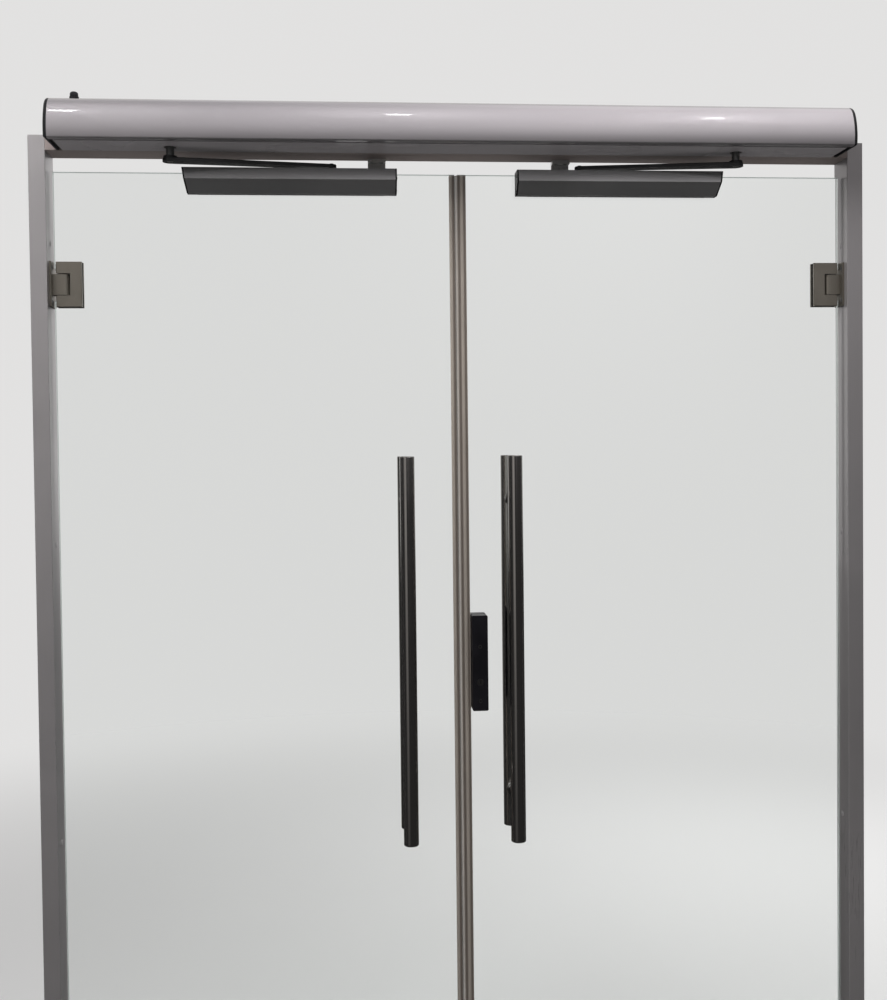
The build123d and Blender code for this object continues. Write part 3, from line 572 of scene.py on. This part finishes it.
plug_plastic = make_finish("plug_plastic", jamb_grey, 0, 0.36, 0.5, grain=1400, patches=30,
                           depth=0.00004)
plug_mesh = turned("jamb_plug", [
    (circle, plug_tip, -plug_depth), (circle, plug_shank, -plug_taper), (circle, plug_shank, 0),
    (circle, plug_head, 0)] + [(circle, plug_head * radius_share, plug_rise * height_share)
                               for radius_share, height_share in plug_dome])
plug_places = [(Vector((sense * jamb_low[0], (jamb_low[1] + jamb_high[1]) / 2, level)),
                Vector((-sense, 0, 0))) for sense in (-1, 1) for level in plug_levels]
seat_copies("jamb_plugs", plug_mesh, plug_places, plug_plastic, "frame", seed=51)

# Operator chassis, a deep extruded channel behind and under the housing. It is anodised
# grey, and its flat underside faintly mirrors what hangs below it.
chassis_grey = (0.47, 0.441, 0.459)

anodised_chassis = make_finish("anodised_chassis", chassis_grey, 0.1, 0.20, 0.32,
                               lines=(0.02, 1, 1), grain=700, patches=3, dust=0.5, gloss=0.3)
dress("operator_chassis", anodised_chassis)

# Drive inside the housing: cast gearboxes with painted motors, a moulded control unit and a
# mains supply in a folded sheet case.
cast_grey = (0.42, 0.42, 0.43)
motor_black = (0.03, 0.03, 0.034)
sheet_grey = (0.5, 0.5, 0.5)
control_grey = (0.05, 0.05, 0.055)

cast_metal = make_finish("cast_metal", cast_grey, 0.8, 0.45, 0.62, grain=420, patches=12,
                         shade=0.75, depth=0.0002)
motor_paint = make_finish("motor_paint", motor_black, 0, 0.3, 0.42, grain=300, patches=10, shade=1.3)
sheet_metal = make_finish("sheet_metal", sheet_grey, 0.9, 0.34, 0.5, grain=160, patches=8)
control_plastic = make_finish("control_plastic", control_grey, 0, 0.4, 0.55, grain=1400,
                              patches=14, shade=1.3, depth=0.00006)
for side in ("left", "right"):
    dress("gearbox_" + side, cast_metal)
    dress("motor_" + side, motor_paint)
dress("power_supply", sheet_metal)
dress("control_unit", control_plastic)

# Housing cover, one D-shaped aluminium extrusion sprayed with a glossy silver lacquer. Its
# front is bowed and runs smoothly into a rounded crown, and a lip under it clips to the
# chassis.
cover_silver = (0.60, 0.57, 0.592)
lacquer_coat = 0.9
lacquer_roughness = 0.05
crown_radius = 0.034
bow_radius = 0.1115
foot_radius = 0.003
foot_angle = math.radians(8)
cover_skin = 0.002
lip_depth = 0.012
arc_step = math.radians(1.5)
length_weld = 0.000001
cover_low, cover_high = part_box("header_cover")

cover_lacquer = make_finish("cover_lacquer", cover_silver, 0.88, 0.30, 0.40, grain=260,
                            patches=1.6, shade=0.96, depth=0.000002, dust=0.7)
shader = cover_lacquer.node_tree.nodes["Principled BSDF"]
shader.inputs["Coat Weight"].default_value = lacquer_coat
shader.inputs["Coat Roughness"].default_value = lacquer_roughness


def arc(centre, radius, start, end):
    """Points of an arc in the end view. An angle of 0 faces the front, a right angle up."""
    steps = max(2, math.ceil(abs(end - start) / arc_step))
    angles = [start + (end - start) * step / steps for step in range(steps + 1)]
    return [(centre[0] - radius * math.cos(angle), centre[1] + radius * math.sin(angle))
            for angle in angles]


def housing_front(inset):
    """The housing's front in the end view, from its foot up to the flat of its top."""
    quarter = math.pi / 2
    bow_y = cover_low[1] + bow_radius
    foot = (bow_y - (bow_radius - foot_radius) * math.cos(foot_angle), cover_low[2] + foot_radius)
    bow = (bow_y, foot[1] + (bow_radius - foot_radius) * math.sin(foot_angle))
    crown_z = cover_high[2] - crown_radius
    crown_angle = math.asin((crown_z - bow[1]) / (bow_radius - crown_radius))
    crown = (bow_y - (bow_radius - crown_radius) * math.cos(crown_angle), crown_z)
    return (arc(foot, foot_radius - inset, -quarter, -foot_angle)
            + arc(bow, bow_radius - inset, -foot_angle, crown_angle)[1:]
            + arc(crown, crown_radius - inset, crown_angle, quarter)[1:])


def make_drawing_tree():
    """Draws a section's flat face along a run into one closed length."""
    tree, given, result = new_group(
        "GeometryNodeTree", "drawn_length",
        {"Geometry": "Geometry", "Run": "Vector", "Finish": "Material"}, {"Geometry": "Geometry"})
    drawn = add_node(tree, "GeometryNodeExtrudeMesh", {
        "Mesh": given["Geometry"], "Offset": given["Run"], "Offset Scale": 1,
        "Individual": False})
    start_face = add_node(tree, "GeometryNodeFlipFaces", {"Mesh": given["Geometry"]})
    whole = add_node(tree, "GeometryNodeJoinGeometry", {"Geometry": drawn.outputs["Mesh"]})
    fill_inputs(tree, whole, {"Geometry": start_face.outputs["Mesh"]})
    closed = add_node(tree, "GeometryNodeMergeByDistance", {
        "Geometry": whole.outputs["Geometry"], "Distance": length_weld})
    return end_tree(tree, closed.outputs["Geometry"], given, result)


drawn_length = make_drawing_tree()


def draw_length(name, outline, run, finish, body):
    """A closed length with one section. outline holds the section's corners in space."""
    section = bpy.data.meshes.new(name + "_section")
    section.from_pydata(outline, [], [list(range(len(outline)))])
    if section.polygons[0].normal.dot(Vector(run)) < 0:
        section.flip_normals()
    piece = grow(name, drawn_length, section, {"Run": run, "Finish": finish}, body)
    piece.data.shade_smooth()
    piece.data.set_sharp_from_angle(angle=crease_angle)
    return piece


outside = housing_front(0)
inside = housing_front(cover_skin)
lip_y = outside[0][0] + lip_depth
cover_section = ([(lip_y, cover_low[2])] + outside
                 + [(cover_high[1], cover_high[2]), (cover_high[1], cover_high[2] - cover_skin)]
                 + inside[::-1] + [(lip_y, cover_low[2] + cover_skin)])
cover = draw_length("header_cover_detail", [(cover_low[0], y, z) for y, z in cover_section],
                    (cover_high[0] - cover_low[0], 0, 0), cover_lacquer, "frame")
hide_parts("header_cover")

# End caps, moulded in black plastic with a fine grain. Each has the cover's outline and a
# rounded rim, and a spigot that presses into the cover's end.
moulded_black = (0.008, 0.008, 0.009)
cap_rim = 0.004
cap_steps = 6
cap_spigot = 0.005
cap_fit = 0.0026

black_plastic = make_finish("black_plastic", moulded_black, 0, 0.42, 0.58, grain=1400, patches=14,
                            shade=1.4, depth=0.00006, dust=0.25, gloss=0.3)


def cap_outline(inset):
    """The cap's whole outline in the end view, drawn in by an inset."""
    return (housing_front(inset) + [(cover_high[1] - inset, cover_high[2] - inset),
                                    (cover_high[1] - inset, cover_low[2] + inset)])


for side, sense in (("left", -1), ("right", 1)):
    low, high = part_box("end_cap_" + side)
    joint = sense * cover_high[0]
    tip = high[0] if sense > 0 else low[0]
    rings = [(joint - sense * cap_spigot, cap_fit), (joint, cap_fit), (joint, 0)]
    for step in range(cap_steps + 1):
        angle = math.pi / 2 * step / cap_steps
        rings.append((tip - sense * cap_rim * (1 - math.sin(angle)), cap_rim * (1 - math.cos(angle))))
    mesh = skin("end_cap_%s_detail" % side,
                [[(x, y, z) for y, z in cap_outline(inset)] for x, inset in rings])
    mesh.materials.append(black_plastic)
    cap = add_object("end_cap_%s_detail" % side, mesh)
    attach(cap, "frame")
    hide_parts("end_cap_" + side)

# Cable gland on top of the housing: a hexagon body, and a ribbed dome nut that squeezes a
# rubber sleeve round the cable. It is moulded in the same black plastic.
gland_bore = 0.0035
gland_ribs = 12
gland_rib_share = 0.05
gland_steps = 72
gland_low, gland_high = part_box("cable_gland")
gland_radius = (gland_high[0] - gland_low[0]) / 2
gland_rise = gland_high[2] - gland_low[2]


def ribbed(angle):
    """How far the dome nut's ribbed side lies at an angle, where its grooves lie at 1."""
    return 1 - gland_rib_share * (0.5 + 0.5 * math.cos(gland_ribs * angle))


# Outline, share of the radius or of the bore, and share of the height.
gland_outside = (
    (hexagon, 0.94, 0), (hexagon, 1, 0.05), (hexagon, 1, 0.36), (hexagon, 0.92, 0.42),
    (circle, 0.68, 0.44), (circle, 0.68, 0.50), (ribbed, 0.80, 0.52), (ribbed, 0.79, 0.78),
    (ribbed, 0.70, 0.90), (circle, 0.56, 0.97), (circle, 0.46, 1))
gland_throat = ((circle, 1.1, 0.99), (circle, 1, 0.94), (circle, 1, 0.2))
gland_rings = [(circle, gland_bore, 0)]
for widest, profile in ((gland_radius, gland_outside), (gland_bore, gland_throat)):
    gland_rings += [(outline, widest * radius_share, gland_rise * height_share)
                    for outline, radius_share, height_share in profile]
gland_mesh = turned("cable_gland_detail", gland_rings, steps=gland_steps)
gland_spot = Vector(((gland_low[0] + gland_high[0]) / 2, (gland_low[1] + gland_high[1]) / 2,
                     gland_low[2]))
gland = seat_copies("cable_gland_detail", gland_mesh, [(gland_spot, Vector((0, 0, 1)))],
                    black_plastic, "frame")
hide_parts("cable_gland")

# Door stops, bent from brushed steel bar and screwed up under the head. The lower end of
# each carries a black rubber block, ribbed where the leaf closes against it.
# Painted reflection: the steel's own grey is raised to a near white so that the stops show the bright
# sheen that their faces mirror.
stop_steel_and_painted_sheen = (0.85, 0.83, 0.81)
rubber_black = (0.010, 0.010, 0.010)
buffer_top = 2.0905
buffer_shoulder = 0.002
buffer_slope = 0.0025
buffer_round = 0.003
buffer_inset = 0.001
rib_depth = 0.0005
rib_pitch = 0.003
rib_steps = 25

stop_steel = make_finish("stop_steel", stop_steel_and_painted_sheen, 0.3, 0.24, 0.36, lines=(0.05, 1, 1), grain=900,
                         patches=14, depth=0.00005)
rubber = make_finish("black_rubber", rubber_black, 0, 0.7, 0.85, grain=500, patches=20,
                     shade=1.5, depth=0.00006)
for side, (low, high) in zip(("left", "right"), separate_solids("stop_buffers")):
    dress("door_stop_" + side, stop_steel)
    ribs_from = low.z + buffer_round
    ribs_to = buffer_top - buffer_shoulder
    ribs = []
    for step in range(rib_steps):
        level = ribs_from + (ribs_to - ribs_from) * (step + 1) / rib_steps
        ripple = 0.5 - 0.5 * math.cos(2 * math.pi * (level - ribs_from) / rib_pitch)
        ribs.append((low.y + rib_depth * ripple, level))
    block = (arc((low.y + buffer_round, ribs_from), buffer_round, -math.pi / 2, 0) + ribs
             + [(low.y + buffer_slope, buffer_top), (high.y, buffer_top), (high.y, low.z)])
    piece = draw_length("stop_buffer_" + side, [(low.x + buffer_inset, y, z) for y, z in block],
                        (high.x - low.x - 2 * buffer_inset, 0, 0), rubber, "frame")
    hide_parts("stop_buffers")

# Hinges, machined brass under satin nickel: a bracket screwed to the jamb, two clamp plates
# drawn together through a notch in the glass, and a ground pin.
nickel = (0.30, 0.275, 0.235)
pin_grey = (0.50, 0.50, 0.50)

satin_nickel = make_finish("satin_nickel", nickel, 0.75, 0.30, 0.44, lines=(1, 1, 0.03), grain=1100,
                           patches=12, depth=0.00004, dust=0.3)
ground_steel = make_finish("ground_steel", pin_grey, 0.9, 0.22, 0.34, lines=(1, 1, 0.05), grain=900,
                           patches=20)
for side in ("left", "right"):
    for part in ("hinge_brackets_", "hinge_front_plates_", "hinge_rear_plates_"):
        dress(part + side, satin_nickel)
    dress("hinge_pins_" + side, ground_steel)
    dress("hinge_gaskets_" + side, rubber)
    fit_screws("hinge_screws_" + side, "leaf_" + side, lambda spot: 1)
fit_screws("bracket_screws", "frame", lambda spot: -math.copysign(1, spot.x))

# Glass leaves, clear toughened panes. Their edges are ground to a fine matt and show the
# faint green of the glass.
face_tint = (0.97, 0.985, 0.978)
edge_tint = (0.80, 0.92, 0.87)
edge_roughness = 0.32
face_span = (0.8, 0.95)
glass_ior = 1.5
shadow_tint = (0.93, 0.95, 0.94)

clear_glass, tree, shader = new_material("clear_glass")
place = add_node(tree, "ShaderNodeTexCoord", {})
facing = add_node(tree, "ShaderNodeSeparateXYZ", {"Vector": place.outputs["Normal"]})
on_face = rise(tree, combine(tree, "ABSOLUTE", facing.outputs["Y"]), face_span, "LINEAR")
ground = add_node(tree, "ShaderNodeMapRange",
                  {"Value": on_face, "To Min": edge_roughness, "To Max": 0})
fill_inputs(tree, shader, {
    "Metallic": 0, "Transmission Weight": 1, "IOR": glass_ior,
    "Base Color": mixed(tree, on_face, edge_tint, face_tint),
    "Roughness": ground.outputs["Result"]})
light_path = add_node(tree, "ShaderNodeLightPath", {})
let_through = add_node(tree, "ShaderNodeBsdfTransparent", {"Color": (*shadow_tint, 1)})
shade = choose(tree, light_path.outputs["Is Shadow Ray"], shader.outputs["BSDF"],
               let_through.outputs["BSDF"])
tree.links.new(shade, tree.nodes["Material Output"].inputs["Surface"])
for side in ("left", "right"):
    dress("glass_leaf_" + side, clear_glass)

# Slide rails, extruded aluminium in grey anodising with black end caps. Each is bolted
# through the glass to a flat bar behind it, and two small screws hold each cap.
rail_grey = (0.66, 0.66, 0.665)
bolt_crown = ((1, 1), (1, 0.55), (0.92, 0.22), (0.76, 0.06), (0.60, 0))
bolt_socket = ((0.46, 0), (0.42, 0.08), (0.42, 0.65))
bolt_head_share = 0.67
cap_screw_radius = 0.0023
cap_screw_proud = cap_screw_radius * 0.5
cap_screw_head = cap_screw_radius * 0.6
cap_screw_length = 0.010
cap_screw_places = ((-0.0140, 2.0575), (-0.0365, 2.0765))
cap_slant = 8.0 / 49.0
cap_face_z = 2.096

rail_finish = make_finish("rail_anodising", rail_grey, 0.9, 0.30, 0.44, lines=(0.015, 1, 1),
                          grain=800, patches=4, depth=0.00004, dust=0.5)


def pan_bolt(name, head, shank, length, head_height):
    """A round-headed bolt with a hexagon socket, its head's crown at the origin."""
    tip = shank * 0.7
    point = shank * 0.4
    rings = [(circle, tip, -length), (circle, shank, point - length),
             (circle, shank, -head_height)]
    for outline, profile in ((circle, bolt_crown), (hexagon, bolt_socket)):
        rings += [(outline, head * radius_share, -head_height * height_share)
                  for radius_share, height_share in profile]
    return turned(name, rings)


lean = math.hypot(1, cap_slant)
for side, sense in (("left", -1), ("right", 1)):
    low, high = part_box("rail_end_caps_" + side)
    near, far = (low[0], high[0]) if sense > 0 else (high[0], low[0])
    places = [(Vector((near, y, z)), Vector((-sense, 0, 0))) for y, z in cap_screw_places]
    places += [(Vector((far - sense * cap_slant * (cap_face_z - z), y, z)),
                Vector((sense / lean, 0, -cap_slant / lean))) for y, z in cap_screw_places]
    pattern = pan_bolt("cap_screw", cap_screw_radius, cap_screw_radius * shank_share_usual,
                       cap_screw_length, cap_screw_head)
    raised = [(spot + aim * cap_screw_proud, aim) for spot, aim in places]
    seat_copies("rail_cap_screws_" + side, pattern, raised, screw_steel, "leaf_" + side,
                seed=31)
    dress("slide_rail_" + side, rail_finish)
    dress("rail_back_plate_" + side, rail_finish)
    dress("rail_end_caps_" + side, black_plastic)
    seats = screw_seats("rail_bolts_" + side, lambda spot: 1)
    radius, length = seats[0][2:]
    pattern = pan_bolt("rail_bolt", radius, radius * shank_share_usual, length,
                       radius * bolt_head_share)
    bolts = seat_copies("rail_bolts_%s_detail" % side, pattern, [seat[:2] for seat in seats],
                        screw_steel, "leaf_" + side, seed=11)
    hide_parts("rail_bolts_" + side)

# Drive arms, forged steel under dark grey lacquer. A ground spindle carries each one, and a
# plastic shoe takes its pin along the rail.
arm_grey = (0.024, 0.024, 0.025)
# Painted shade: the spindles' ground steel is a darker grey than the hinge pins', for the shade under
# the housing.
spindle_painted_shade_grey = (0.26, 0.26, 0.26)
shoe_black = (0.02, 0.02, 0.02)

arm_lacquer = make_finish("arm_lacquer", arm_grey, 0.2, 0.30, 0.44, grain=220, patches=16,
                          shade=0.8, depth=0.00006, dust=0.4)
spindle_steel = make_finish("spindle_steel", spindle_painted_shade_grey, 0.85, 0.24, 0.36, lines=(1, 1, 0.05),
                            grain=900, patches=20)
shoe_plastic = make_finish("shoe_plastic", shoe_black, 0, 0.28, 0.42, grain=600, patches=30,
                           shade=1.3)
for side in ("left", "right"):
    dress("drive_arm_" + side, arm_lacquer)
    dress("spindle_" + side, spindle_steel)
    dress("slide_shoe_" + side, shoe_plastic)
    fit_screws("arm_screw_" + side, "arm_" + side, lambda spot: -1, shank_share=0.46, head_share=0.54)

# Pull handles, polished stainless tube on turned posts that meet through the glass. A grub
# screw under each post locks it.
stainless = (0.50, 0.485, 0.47)
grub_radius = 0.0030
grub_length = 0.006
grub_reach = 0.034
grub_rings = (
    (circle, grub_radius * 0.8, -grub_length), (circle, grub_radius, -grub_length * 0.85),
    (circle, grub_radius, -grub_radius * 0.12), (circle, grub_radius * 0.9, 0),
    (hexagon, grub_radius * 0.62, 0), (hexagon, grub_radius * 0.56, -grub_radius * 0.1),
    (hexagon, grub_radius * 0.56, -grub_length * 0.5))
post_radius = 0.009
post_levels = (0.825, 1.429)

polished_tube = make_finish("polished_tube", stainless, 1, 0.13, 0.22, lines=(1, 1, 0.01), grain=1500,
                            patches=5, shade=0.92, depth=0.000008)
for side in ("left", "right"):
    for part in ("pull_handle_front_", "pull_handle_rear_", "handle_standoffs_"):
        dress(part + side, polished_tube)
    low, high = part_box("handle_standoffs_" + side)
    post_x = (low[0] + high[0]) / 2
    places = [(Vector((post_x, face * grub_reach, level - post_radius)), Vector((0, 0, -1)))
              for level in post_levels for face in (-1, 1)]
    seat_copies("grub_screws_" + side, turned("grub_screw", grub_rings), places, screw_steel,
                "leaf_" + side, seed=41)

# Lock on the right leaf: two narrow black cases, one on each face of the glass, with a key
# plug in front, a thumb turn behind, and steel bolts that swing over the other leaf's edge.
lock_black = (0.0075, 0.007, 0.009)
plug_grey = (0.07, 0.068, 0.07)
lock_screw_radius = 0.0042
lock_screw_length = 0.012
lock_screw_proud = 0.0004
lock_screw_levels = (1.128, 1.016)
plug_low, plug_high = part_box("lock_spindle")
lock_x = (plug_low[0] + plug_high[0]) / 2
front_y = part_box("lock_case_front")[0][1] - lock_screw_proud
rear_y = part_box("lock_case_rear")[1][1] + lock_screw_proud

lock_paint = make_finish("lock_paint", lock_black, 0, 0.30, 0.42, grain=900, patches=12, shade=1.5,
                         gloss=0.3)
plug_metal = make_finish("plug_metal", plug_grey, 0.8, 0.26, 0.38, grain=900, patches=30)
for face in ("front", "rear"):
    dress("lock_case_" + face, lock_paint)
dress("lock_spindle", plug_metal)
dress("lock_bolts", ground_steel)
for number, level in enumerate(lock_screw_levels):
    places = [(Vector((lock_x, front_y, level)), Vector((0, -1, 0))),
              (Vector((lock_x, rear_y, level)), Vector((0, 1, 0)))]
    pattern = countersunk_screw(
        "lock_screw", lock_screw_radius, lock_screw_radius * shank_share_usual,
        lock_screw_length, lock_screw_radius * head_height_share)
    seat_copies("lock_screws_%d" % (number + 1), pattern, places,
                plug_metal, "leaf_right", seed=21 + number)

# Meeting seal, a clear extruded strip pressed over the right leaf's edge, with a clear
# strip along the left leaf's edge on each face. Both are ribbed lengthwise. Their light brown
# tint is painted and stands for what shows through the clear plastic, and the grooves
# between the ribs are painted darker and more solid as painted shade.
seal_painted_tint = (0.56, 0.49, 0.43)
groove_painted_shade = (0.20, 0.168, 0.145)
groove_span = (0.35, -0.75)
groove_shade_opacity = 0.22
edge_on_blend = 0.35
solidity_flat = 0.56
solidity_edge_on = 0.80
rib_spacing = 0.0113
groove_depth = 0.0008
seal_points = 40
bulb_steps = 12
bulb_degrees = 7.5
web_x = 0.001
glass_edge_x = 0.003
strip_from = 0.0138
strip_to = 0.0033
strip_rise = 0.0016
glass_half = 0.006
seal_low, seal_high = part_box("meeting_seal")

clear_seal = make_finish("clear_seal", seal_painted_tint, 0, 0.16, 0.28, lines=(1, 1, 0.02), grain=500,
                         patches=7, shade=0.92)
tree = clear_seal.node_tree
place = add_node(tree, "ShaderNodeTexCoord", {})
across_seal = add_node(tree, "ShaderNodeSeparateXYZ", {"Vector": place.outputs["Object"]})
phase = combine(tree, "MULTIPLY", across_seal.outputs["X"], 2 * math.pi / rib_spacing)
groove = rise(tree, combine(tree, "COSINE", phase), groove_span)
edge_on = add_node(tree, "ShaderNodeLayerWeight", {"Blend": edge_on_blend})
solidity = add_node(tree, "ShaderNodeMapRange", {
    "Value": edge_on.outputs["Facing"], "To Min": solidity_flat, "To Max": solidity_edge_on})
seal_opacity = add_node(tree, "ShaderNodeMath", {0: groove, 1: groove_shade_opacity, 2: solidity.outputs["Result"]},
                  operation="MULTIPLY_ADD", use_clamp=True)
worked = next(node for node in tree.nodes if node.type == "GROUP")
# Painted shade in the grooves: darker and more solid there. The brown tint is painted too.
fill_inputs(tree, tree.nodes["Principled BSDF"], {
    "Base Color": mixed(tree, groove, worked.outputs["Colour"], groove_painted_shade),
    "Alpha": seal_opacity.outputs["Value"]})


def ribbed_line(start, end, outer, sense):
    """A ribbed line across the strip from one X to another, on the front or the back."""
    line = []
    for step in range(seal_points + 1):
        x = start + (end - start) * step / seal_points
        groove_here = 0.5 - 0.5 * math.cos(2 * math.pi * x / rib_spacing)
        line.append((x, sense * (outer - groove_depth * groove_here)))
    return line


def draw_strip(name, outline, body):
    """A strip of the clear seal as tall as the seal, riding on a leaf."""
    return draw_length(name, [(x, y, seal_low[2]) for x, y in outline],
                       (0, 0, seal_high[2] - seal_low[2]), clear_seal, body)


bulb = [(web_x - (web_x - seal_low[0]) * math.cos(angle), glass_half * math.sin(angle))
        for angle in [math.radians(step * bulb_degrees) for step in range(-bulb_steps, bulb_steps + 1)]]
seal = draw_strip("meeting_seal_detail", (
    ribbed_line(seal_high[0], web_x, seal_high[1], -1) + bulb
    + ribbed_line(web_x, seal_high[0], seal_high[1], 1)
    + [(seal_high[0], glass_half), (glass_edge_x, glass_half),
       (glass_edge_x, -glass_half), (seal_high[0], -glass_half)]), "leaf_right")
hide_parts("meeting_seal")
for face, sense in (("front", -1), ("rear", 1)):
    draw_strip("edge_strip_" + face, (
        ribbed_line(-strip_from, -strip_to, glass_half + strip_rise, sense)
        + [(-strip_to, sense * glass_half), (-strip_from, sense * glass_half)]), "leaf_left")

# Plain light on every colour, as written.
bpy.context.scene.view_settings.view_transform = "Standard"
